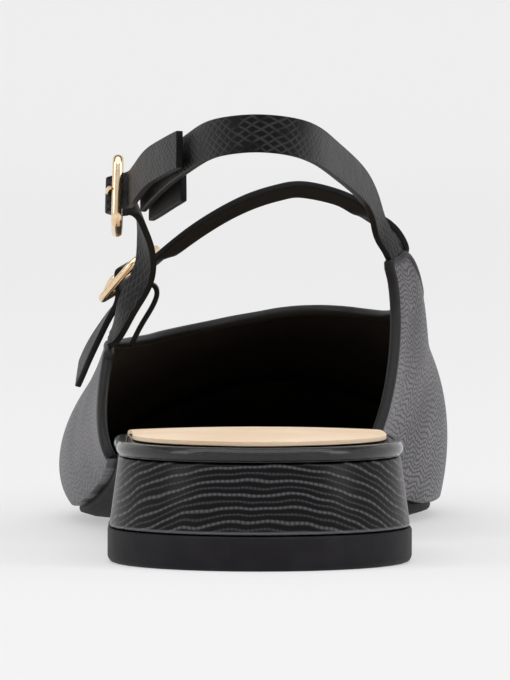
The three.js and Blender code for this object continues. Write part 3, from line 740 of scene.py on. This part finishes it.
def block_piece(node, name, slot, finish, width, segments=3, levels=0):
    """A copy of a solid with rounded edges and a smooth surface."""
    piece = merged_copy(node, name)
    bpy.ops.object.mode_set(mode="EDIT")
    bpy.ops.mesh.select_all(action="SELECT")
    bpy.ops.mesh.tris_convert_to_quads()
    bpy.ops.object.mode_set(mode="OBJECT")
    piece.data.materials.append(FINISH[finish])
    rounded(piece, width * MM, segments, 40)
    if levels:
        smoothed(piece, levels)
    settle(piece, 35)
    return finished(piece, slot, node)


def tube(name, points, radii, cyclic=False, sides=4):
    """A round bar along points in millimetres of a local frame, with a radius at each."""
    curve = bpy.data.curves.new(name, "CURVE")
    curve.dimensions = "3D"
    curve.bevel_depth = 1.0
    curve.bevel_resolution = sides
    curve.use_fill_caps = True
    line = curve.splines.new("POLY")
    line.points.add(len(points) - 1)
    for spot, point, radius in zip(line.points, points, radii):
        spot.co = (*point, 1.0)
        spot.radius = radius
    line.use_cyclic_u = cyclic
    piece = bpy.data.objects.new(name, curve)
    bpy.context.scene.collection.objects.link(piece)
    alone(piece)
    bpy.ops.object.convert(target="MESH")
    return bpy.context.view_layer.objects.active


def joined(name, pieces):
    bpy.ops.object.select_all(action="DESELECT")
    for piece in pieces:
        piece.select_set(True)
    bpy.context.view_layer.objects.active = pieces[0]
    bpy.ops.object.join()
    pieces[0].name = name
    return pieces[0]


def seated(piece, matrix, finish, slot, *nodes):
    """Places a piece made in millimetres of a local frame."""
    piece.matrix_world = matrix
    alone(piece)
    bpy.ops.object.transform_apply(location=True, rotation=True, scale=True)
    bpy.ops.object.mode_set(mode="EDIT")
    bpy.ops.mesh.select_all(action="SELECT")
    bpy.ops.mesh.normals_make_consistent(inside=False)
    bpy.ops.object.mode_set(mode="OBJECT")
    piece.data.materials.clear()
    piece.data.materials.append(FINISH[finish])
    bpy.ops.object.shade_smooth_by_angle(angle=math.radians(40))
    return finished(piece, slot, *nodes)


def longest_and_shortest(node):
    """The directions in which a solid is longest and thinnest, and its middle."""
    points = [v.co.copy() for v in frame["nodes"][node].data.vertices]
    middle = sum(points, Vector()) / len(points)
    spread = Matrix(((0,) * 3,) * 3)
    for p in points:
        d = p - middle
        for i in range(3):
            for j in range(3):
                spread[i][j] += d[i] * d[j] * TO_MM ** 2

    def strongest(matrix):
        """The direction that a matrix stretches most."""
        axis = Vector((0.3, 0.5, 0.8))
        for _ in range(400):
            axis = (matrix @ axis).normalized()
        return axis

    long = strongest(spread)
    size = sum(spread[i][i] for i in range(3))
    thin = strongest(Matrix([[size * (i == j) - spread[i][j] for j in range(3)] for i in range(3)]))
    return long, thin, middle


def round_corner(width, height, radius, steps=6):
    """Points of a rectangle with round corners, in order."""
    points = []
    for corner, (sx, sy) in enumerate([(1, -1), (1, 1), (-1, 1), (-1, -1)]):
        for k in range(steps + 1):
            turn = math.radians(-90 + 90 * corner + 90 * k / steps)
            points.append((sx * (width - radius) + radius * math.cos(turn),
                           sy * (height - radius) + radius * math.sin(turn), 0.0))
    return points


def make_buckle(node, pin_node, name, thickness):
    """A cast frame with a middle bar, and a tapered prong that comes out of the strap and rests on the frame."""
    bar, pin, corner = 0.88, 0.6, 1.9
    _, out, middle = longest_and_shortest(node)
    along, _, pin_middle = longest_and_shortest(pin_node)
    if along.dot(pin_middle - middle) < 0:
        along.negate()
    if out.dot(pin_middle - middle) < 0:
        out.negate()
    along = (along - out * along.dot(out)).normalized()
    across = out.cross(along)
    points = [v.co - middle for v in frame["nodes"][node].data.vertices]
    long_half = max(p.dot(along) for p in points) / MM
    wide_half = max(p.dot(across) for p in points) / MM
    height = (pin_middle - middle).dot(out) / MM
    outline = round_corner(long_half - bar, wide_half - bar, corner)
    ring = tube(name + "_ring", outline, [bar] * len(outline), cyclic=True, sides=6)
    middle_bar = tube(name + "_bar", [(0, -wide_half + bar, 0), (0, wide_half - bar, 0)], [pin, pin])
    body = joined(name, [ring, middle_bar])
    place = Matrix.Translation(middle) @ Matrix((along, across, out)).transposed().to_4x4() @ Matrix.Scale(MM, 4)
    flatten = Matrix.Diagonal((1.0, 1.0, thickness, 1.0))
    seated(body, place @ flatten, "gold", "gold", node)
    tip = long_half + 0.15
    line = [(1.5, 0, height - 0.5), (2.3, 0, height), (3.4, 0, height + 0.25), (4.6, 0, height + 0.2),
            (tip - 1.1, 0, height - 0.02), (tip - 0.3, 0, height - 0.16), (tip, 0, height - 0.22)]
    prong = tube(name + "_prong", line, [pin, pin, pin, pin * 0.95, pin * 0.85, pin * 0.7, pin * 0.3])
    seated(prong, place, "gold", "gold", pin_node)


def rim_line(depth):
    """A line in the upper's edge, up one back end, round the collar and down the other."""
    piece = grid_copy("upper", "rim_guide")
    strips = sheets_of(piece)[2:6]
    foot = min((s for s in strips if len(s[0]) > UPPER_ROWS), key=lambda s: s[1].z)
    mesh = bmesh.new()
    mesh.from_mesh(piece.data)
    mesh.faces.ensure_lookup_table()
    ribbon = {mesh.faces[i] for s in strips if s is not foot for i in s[0]}
    rungs = {e for f in ribbon for e in f.edges if sum(g in ribbon for g in e.link_faces) == 2}
    edge = {v for f in ribbon for v in f.verts}

    def far_side(face, rung):
        return next(e for e in face.edges if not set(e.verts) & set(rung.verts))

    face = next(f for f in ribbon if sum(e in rungs for e in f.edges) == 1)
    chain = [far_side(face, next(e for e in face.edges if e in rungs))]
    while True:
        onward = [e for e in face.edges if e in rungs and e not in chain]
        if not onward:
            break
        chain.append(onward[0])
        face = next(f for f in onward[0].link_faces if f in ribbon and f is not face)
    chain.append(far_side(face, chain[-1]))
    points = []
    for rung in chain:
        ways = [e.other_vert(v).co - v.co for v in rung.verts for e in v.link_edges if e.other_vert(v) not in edge]
        if ways:
            inward = sum((w.normalized() for w in ways), Vector()).normalized()
        points.append((rung.verts[0].co + rung.verts[1].co) / 2 / MM + inward * depth)
    mesh.free()
    bpy.data.objects.remove(piece)
    return points


def curved(points, steps=3):
    """More points on a smooth curve through points."""
    made = []
    for i in range(len(points) - 1):
        a, b, c, d = points[max(i - 1, 0)], points[i], points[i + 1], points[min(i + 2, len(points) - 1)]
        for k in range(steps):
            t = k / steps
            made.append(0.5 * ((2 * b) + (c - a) * t + (2 * a - 5 * b + 4 * c - d) * t ** 2
                               + (3 * b - a - 3 * c + d) * t ** 3))
    return made + [points[-1]]


def make_binding():
    """The rolled binding of the collar."""
    inset, radius = 0.75, 1.15
    line = curved(rim_line(inset))
    roll = tube("topline_binding", [tuple(p) for p in line], [radius] * len(line), sides=3)
    return seated(roll, Matrix.Scale(MM, 4), "binding", "embossed_leather")


def make_seat_roll():
    """The covered edge of the seat, a glossy roll from one side of the upper round the heel to the other."""
    reach, centre, inset, radius = -32.0, -60.0, 0.95, 1.5
    rim_height, slant = 2.0, 1.0
    guide = merged_copy("insole", "roll_guide")
    points = []
    for e in guide.data.edges:
        a, b = (guide.data.vertices[i].co / MM for i in e.vertices)
        if abs(a.z - b.z) > rim_height and (a.xy - b.xy).length < slant and (a.y + b.y) / 2 < reach:
            points.append((a + b) / 2)
    bpy.data.objects.remove(guide)
    points.sort(key=lambda p: math.atan2(p.x, centre - p.y))
    inner = []
    for k, p in enumerate(points):
        run = points[min(k + 1, len(points) - 1)] - points[max(k - 1, 0)]
        inward = Vector((-run.y, run.x, 0.0)).normalized()
        inner.append(p + inward * inset)
    line = curved(inner)
    roll = tube("seat_roll", [tuple(p) for p in line], [radius] * len(line), sides=5)
    return seated(roll, Matrix.Scale(MM, 4), "smooth", "seat_leather")


# The camera, the floor and the lights.

def make_camera():
    """Behind the heel at the photograph's angle. Its place is counted from the middle of the lift's back edge."""
    place, aim, lens, film = Vector((-0.0051, -1.3506, 0.101)), Vector((0.00308, 1.0, -0.0416)), 371.6, 36.0
    lo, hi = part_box("top_lift")
    camera = bpy.data.objects.new("camera", bpy.data.cameras.new("camera"))
    bpy.context.scene.collection.objects.link(camera)
    camera.location = Vector(((lo.x + hi.x) / 2, lo.y, 0.0)) + place
    camera.rotation_euler = aim.to_track_quat("-Z", "Y").to_euler()
    camera.data.lens = lens
    camera.data.sensor_width = film
    camera.data.clip_end = 50.0
    bpy.context.scene.camera = camera


def make_floor():
    """A pale round floor that curves up to a wall all round."""
    radius, wall, sweep, steps = 5.0, 7.0, 4.0, 12
    bpy.ops.mesh.primitive_circle_add(vertices=96, radius=radius, fill_type="NGON", location=(0, 0, 0))
    floor = bpy.context.active_object
    floor.name = "studio_floor"
    bpy.ops.object.mode_set(mode="EDIT")
    bpy.ops.mesh.select_all(action="DESELECT")
    mesh = bmesh.from_edit_mesh(floor.data)
    for e in mesh.edges:
        e.select_set(True)
    bmesh.update_edit_mesh(floor.data)
    for k in range(1, steps + 1):
        turn, last = math.radians(90.0 * k / steps), math.radians(90.0 * (k - 1) / steps)
        rise = sweep * (math.cos(last) - math.cos(turn))
        grown = (radius + sweep * math.sin(turn)) / (radius + sweep * math.sin(last))
        bpy.ops.mesh.extrude_edges_move()
        bpy.ops.transform.resize(value=(grown, grown, 1.0))
        bpy.ops.transform.translate(value=(0, 0, rise))
    bpy.ops.mesh.extrude_edges_move(TRANSFORM_OT_translate={"value": (0, 0, wall - sweep)})
    bpy.ops.mesh.select_all(action="SELECT")
    bpy.ops.mesh.normals_make_consistent(inside=True)
    bpy.ops.object.mode_set(mode="OBJECT")
    bpy.ops.object.shade_smooth_by_angle(angle=math.radians(60))
    shader = Shader("paper")
    shader.set(Base_Color=colour(0.4, 0.4, 0.4), Roughness=1.0, Specular_IOR_Level=0.0,
               Emission_Color=colour(1.0, 1.0, 1.0), Emission_Strength=0.43)
    floor.data.materials.append(shader.material)


def lamp(name, kind, place, towards, power):
    light = bpy.data.objects.new(name, bpy.data.lights.new(name, kind))
    bpy.context.scene.collection.objects.link(light)
    light.data.energy = power
    light.location = place
    light.rotation_euler = (Vector(towards) - Vector(place)).to_track_quat("-Z", "Y").to_euler()
    return light.data


def make_lights():
    """A dim white room, a very soft light overhead and a tall box on each side."""
    room_light = 0.12
    world = bpy.data.worlds.new("studio")
    bpy.context.scene.world = world
    world.use_nodes = True
    world.node_tree.nodes["Background"].inputs["Color"].default_value = colour(1.0, 1.0, 1.0)
    world.node_tree.nodes["Background"].inputs["Strength"].default_value = room_light

    sky = lamp("overhead", "SUN", (0.0, -0.5, 2.2), (0, 0, 0), 2.1)
    sky.angle = math.radians(75)
    for name, side, power in (("left_box", -1.2, 4.0), ("right_box", 1.2, 5.0)):
        box = lamp(name, "AREA", (side, -0.55, 0.75), (0, 0, 0.05), power)
        box.shape = "RECTANGLE"
        box.size, box.size_y = 0.45, 1.1
    bpy.context.scene.view_settings.view_transform = "Standard"


for spare in [o for o in bpy.data.objects if o.name in ("Cube", "Light", "Camera")]:
    bpy.data.objects.remove(spare)
make_camera()
make_floor()
make_lights()
make_upper()
make_toe_cap()
make_bands()
make_binding()
make_seat_roll()
block_piece("heel_block", "heel_cover", "heel_cover", "heel", 0.6)
block_piece("top_lift", "walking_piece", "lift", "lift", 0.45)
block_piece("insole", "seat_and_footbed", "seat_leather", "smooth", 1.25, 4)
block_piece("outsole", "sole", "outsole", "sole", 0.4)
block_piece("sock", "sock_lining", "sock_leather", "sock", 0.3, 2, 1)
make_buckle("upper_buckle", "upper_buckle_pin", "sling_buckle", 1.25)
make_buckle("lower_buckle", "lower_buckle_pin", "instep_buckle", 0.95)
